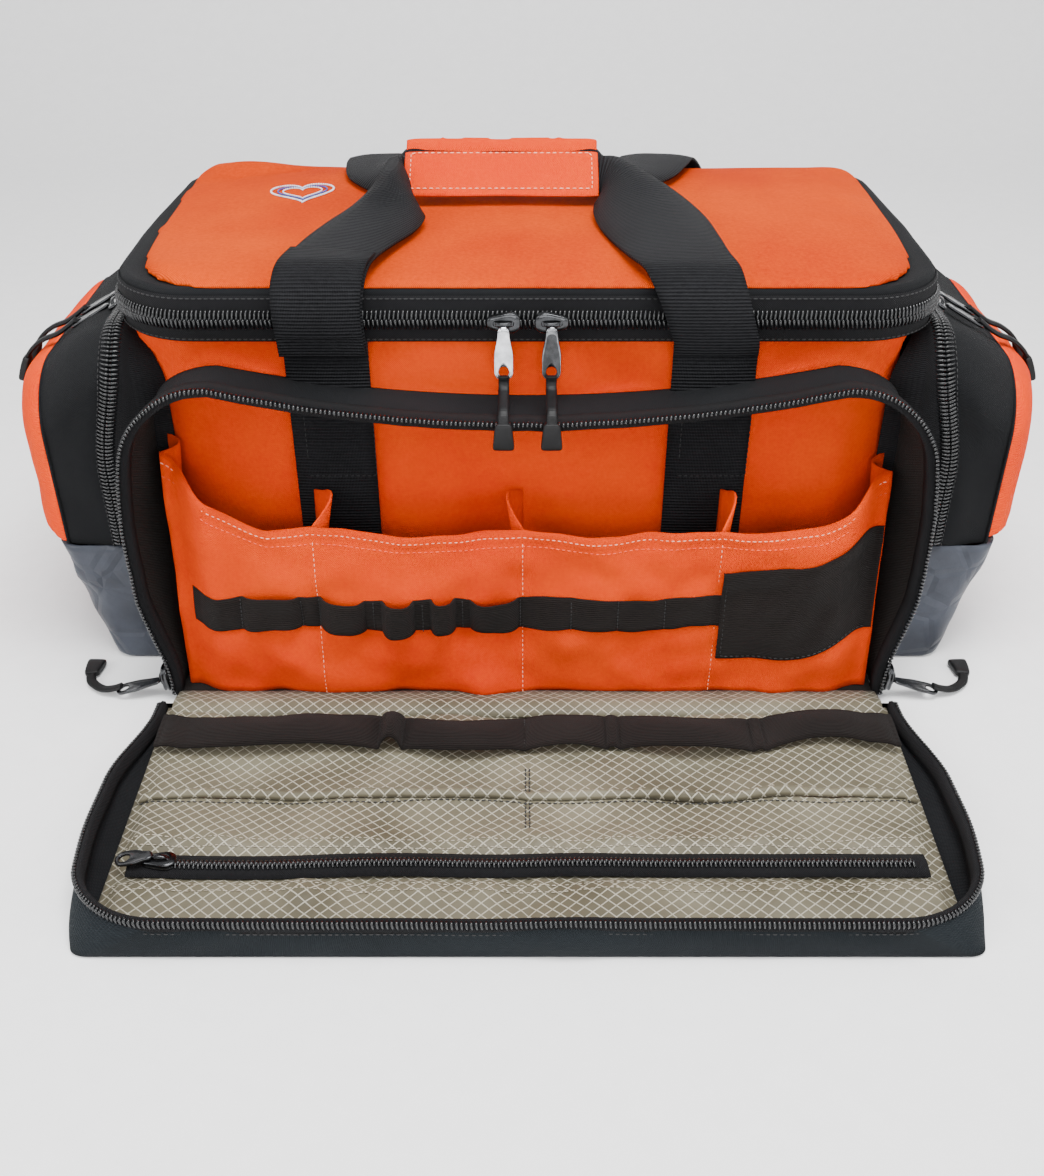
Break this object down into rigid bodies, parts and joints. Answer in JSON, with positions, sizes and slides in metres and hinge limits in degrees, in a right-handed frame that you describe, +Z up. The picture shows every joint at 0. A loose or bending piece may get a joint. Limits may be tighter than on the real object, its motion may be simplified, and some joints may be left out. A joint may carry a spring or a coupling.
{
  "type": "trauma bag",
  "caption": "Soft duffel trauma bag with a zipped padded lid, a drop-front organiser pocket, end pockets and carry handles.",
  "frame": {"origin": "middle of the underside of the main compartment, where it stands on the floor", "axes": "+X to the right seen from the front, +Y to the back, +Z up; the front flap opens towards -Y"},
  "size_m": [0.6664, 0.5191, 0.3052],
  "materials": {
    "orange_cloth": "plain weave polyester, matt",
    "black_cloth": "plain weave polyester, matt",
    "base_cloth": "coated cloth, matt",
    "webbing": "ribbed nylon webbing, slight sheen",
    "elastic": "ribbed elastic, matt",
    "slate_cloth": "plain weave polyester, matt",
    "tarpaulin": "creased coated cloth, satin",
    "ripstop_lining": "diamond ripstop, slight sheen",
    "zip_coil": "nylon coil, satin",
    "gunmetal": "gloss black nickel",
    "pull_rubber": "braided cord and moulded rubber, matt"
  },
  "bodies": {
    "main_body": {"base_panel": "base_cloth", "front_panel": "orange_cloth", "rear_panel": "orange_cloth", "left_end_panel": "orange_cloth", "right_end_panel": "orange_cloth", "rim_stringer": "zip_coil", "front_gusset": "black_cloth", "front_gusset_stringer": "zip_coil", "organiser_pocket": "orange_cloth", "organiser_elastic": "elastic", "organiser_card_elastic": "elastic", "left_strap_run": "webbing", "right_strap_run": "webbing", "left_pocket_boot": "tarpaulin", "right_pocket_boot": "tarpaulin", "left_pocket_stringer": "zip_coil", "right_pocket_stringer": "zip_coil"},
    "lid": {"lid_panel": "orange_cloth", "lid_border": "black_cloth", "lid_stringer": "zip_coil"},
    "front_handle": {"front_handle_webbing": "webbing", "grip_front_leaf": "orange_cloth"},
    "rear_handle": {"rear_handle_webbing": "webbing", "grip_rear_leaf": "orange_cloth"},
    "front_flap": {"flap_shell": "slate_cloth", "flap_stringer": "zip_coil", "flap_lining": "ripstop_lining", "flap_elastic": "elastic", "flap_pocket_zip": "zip_coil"},
    "left_cover": {"left_cover_gusset": "black_cloth", "left_cover_panel": "orange_cloth"},
    "right_cover": {"right_cover_gusset": "black_cloth", "right_cover_panel": "orange_cloth"},
    "lid_slider_left": {"lid_slider_left": "gunmetal"},
    "lid_tab_left": {"lid_tab_left": "gunmetal", "lid_pull_left": "pull_rubber"},
    "lid_slider_right": {"lid_slider_right": "gunmetal"},
    "lid_tab_right": {"lid_tab_right": "gunmetal", "lid_pull_right": "pull_rubber"},
    "front_slider_left": {"front_slider_left": "gunmetal"},
    "front_tab_left": {"front_tab_left": "gunmetal", "front_pull_left": "pull_rubber"},
    "front_slider_right": {"front_slider_right": "gunmetal"},
    "front_tab_right": {"front_tab_right": "gunmetal", "front_pull_right": "pull_rubber"},
    "left_fore_slider": {"left_fore_slider": "gunmetal"},
    "left_fore_tab": {"left_fore_tab": "gunmetal", "left_fore_pull": "pull_rubber"},
    "left_aft_slider": {"left_aft_slider": "gunmetal"},
    "left_aft_tab": {"left_aft_tab": "gunmetal", "left_aft_pull": "pull_rubber"},
    "right_fore_slider": {"right_fore_slider": "gunmetal"},
    "right_fore_tab": {"right_fore_tab": "gunmetal", "right_fore_pull": "pull_rubber"},
    "right_aft_slider": {"right_aft_slider": "gunmetal"},
    "right_aft_tab": {"right_aft_tab": "gunmetal", "right_aft_pull": "pull_rubber"},
    "flap_slider": {"flap_slider": "gunmetal"},
    "flap_tab": {"flap_tab": "gunmetal"}
  },
  "joints": [
    {"name": "lid_hinge", "type": "hinge", "parent": "main_body", "child": "lid", "pos_m": [0, 0.1225, 0.25], "axis": [-1, 0, 0], "range_deg": [0, 75]},
    {"name": "front_handle_swing", "type": "hinge", "parent": "main_body", "child": "front_handle", "pos_m": [0, -0.13, 0.2335], "axis": [1, 0, 0], "range_deg": [0, 188], "deforming": ["front_handle_webbing"]},
    {"name": "rear_handle_swing", "type": "hinge", "parent": "main_body", "child": "rear_handle", "pos_m": [0, 0.13, 0.2335], "axis": [-1, 0, 0], "range_deg": [0, 188], "deforming": ["rear_handle_webbing"]},
    {"name": "front_flap_hinge", "type": "hinge", "parent": "main_body", "child": "front_flap", "pos_m": [0, -0.1725, 0], "axis": [-1, 0, 0], "range_deg": [0, 86]},
    {"name": "left_cover_hinge", "type": "hinge", "parent": "main_body", "child": "left_cover", "pos_m": [-0.3135, 0, 0.09], "axis": [0, -1, 0], "range_deg": [0, 80]},
    {"name": "right_cover_hinge", "type": "hinge", "parent": "main_body", "child": "right_cover", "pos_m": [0.3135, 0, 0.09], "axis": [0, 1, 0], "range_deg": [0, 80]},
    {"name": "lid_slider_left_slide", "type": "slide", "parent": "main_body", "child": "lid_slider_left", "axis": [-1, 0, 0], "range_m": [0, 0.06]},
    {"name": "lid_tab_left_swing", "type": "hinge", "parent": "lid_slider_left", "child": "lid_tab_left", "pos_m": [-0.014, -0.1345, 0.2485], "axis": [-1, 0, 0], "range_deg": [0, 100]},
    {"name": "lid_slider_right_slide", "type": "slide", "parent": "main_body", "child": "lid_slider_right", "axis": [1, 0, 0], "range_m": [0, 0.06]},
    {"name": "lid_tab_right_swing", "type": "hinge", "parent": "lid_slider_right", "child": "lid_tab_right", "pos_m": [0.014, -0.1345, 0.2485], "axis": [-1, 0, 0], "range_deg": [0, 100]},
    {"name": "front_slider_left_slide", "type": "slide", "parent": "main_body", "child": "front_slider_left", "axis": [0, 0, 1], "range_m": [0, 0.14]},
    {"name": "front_tab_left_swing", "type": "hinge", "parent": "front_slider_left", "child": "front_tab_left", "pos_m": [-0.246, -0.156, 0.0125], "axis": [0, 1, 0], "range_deg": [0, 90]},
    {"name": "front_slider_right_slide", "type": "slide", "parent": "main_body", "child": "front_slider_right", "axis": [0, 0, 1], "range_m": [0, 0.14]},
    {"name": "front_tab_right_swing", "type": "hinge", "parent": "front_slider_right", "child": "front_tab_right", "pos_m": [0.246, -0.156, 0.0125], "axis": [0, -1, 0], "range_deg": [0, 90]},
    {"name": "left_fore_slider_slide", "type": "slide", "parent": "left_cover", "child": "left_fore_slider", "axis": [0, -1, 0], "range_m": [0, 0.025]},
    {"name": "left_fore_tab_swing", "type": "hinge", "parent": "left_fore_slider", "child": "left_fore_tab", "pos_m": [-0.2672, -0.051, 0.2315], "axis": [0, 1, 0], "range_deg": [0, 90]},
    {"name": "left_aft_slider_slide", "type": "slide", "parent": "left_cover", "child": "left_aft_slider", "axis": [0, 1, 0], "range_m": [0, 0.1]},
    {"name": "left_aft_tab_swing", "type": "hinge", "parent": "left_aft_slider", "child": "left_aft_tab", "pos_m": [-0.2672, -0.029, 0.2315], "axis": [0, 1, 0], "range_deg": [0, 90]},
    {"name": "right_fore_slider_slide", "type": "slide", "parent": "right_cover", "child": "right_fore_slider", "axis": [0, -1, 0], "range_m": [0, 0.025]},
    {"name": "right_fore_tab_swing", "type": "hinge", "parent": "right_fore_slider", "child": "right_fore_tab", "pos_m": [0.2672, -0.051, 0.2315], "axis": [0, -1, 0], "range_deg": [0, 90]},
    {"name": "right_aft_slider_slide", "type": "slide", "parent": "right_cover", "child": "right_aft_slider", "axis": [0, 1, 0], "range_m": [0, 0.1]},
    {"name": "right_aft_tab_swing", "type": "hinge", "parent": "right_aft_slider", "child": "right_aft_tab", "pos_m": [0.2672, -0.029, 0.2315], "axis": [0, -1, 0], "range_deg": [0, 90]},
    {"name": "flap_slider_slide", "type": "slide", "parent": "front_flap", "child": "flap_slider", "axis": [1, 0, 0], "range_m": [0, 0.38]},
    {"name": "flap_tab_swing", "type": "hinge", "parent": "flap_slider", "child": "flap_tab", "pos_m": [-0.212, -0.326, 0.0162], "axis": [0, 1, 0], "range_deg": [0, 120]}
  ],
  "couplings": [
    {"joint": "front_handle_swing", "follows": "lid_hinge", "ratio": 2.5},
    {"joint": "rear_handle_swing", "follows": "lid_hinge", "ratio": 2.5}
  ]
}
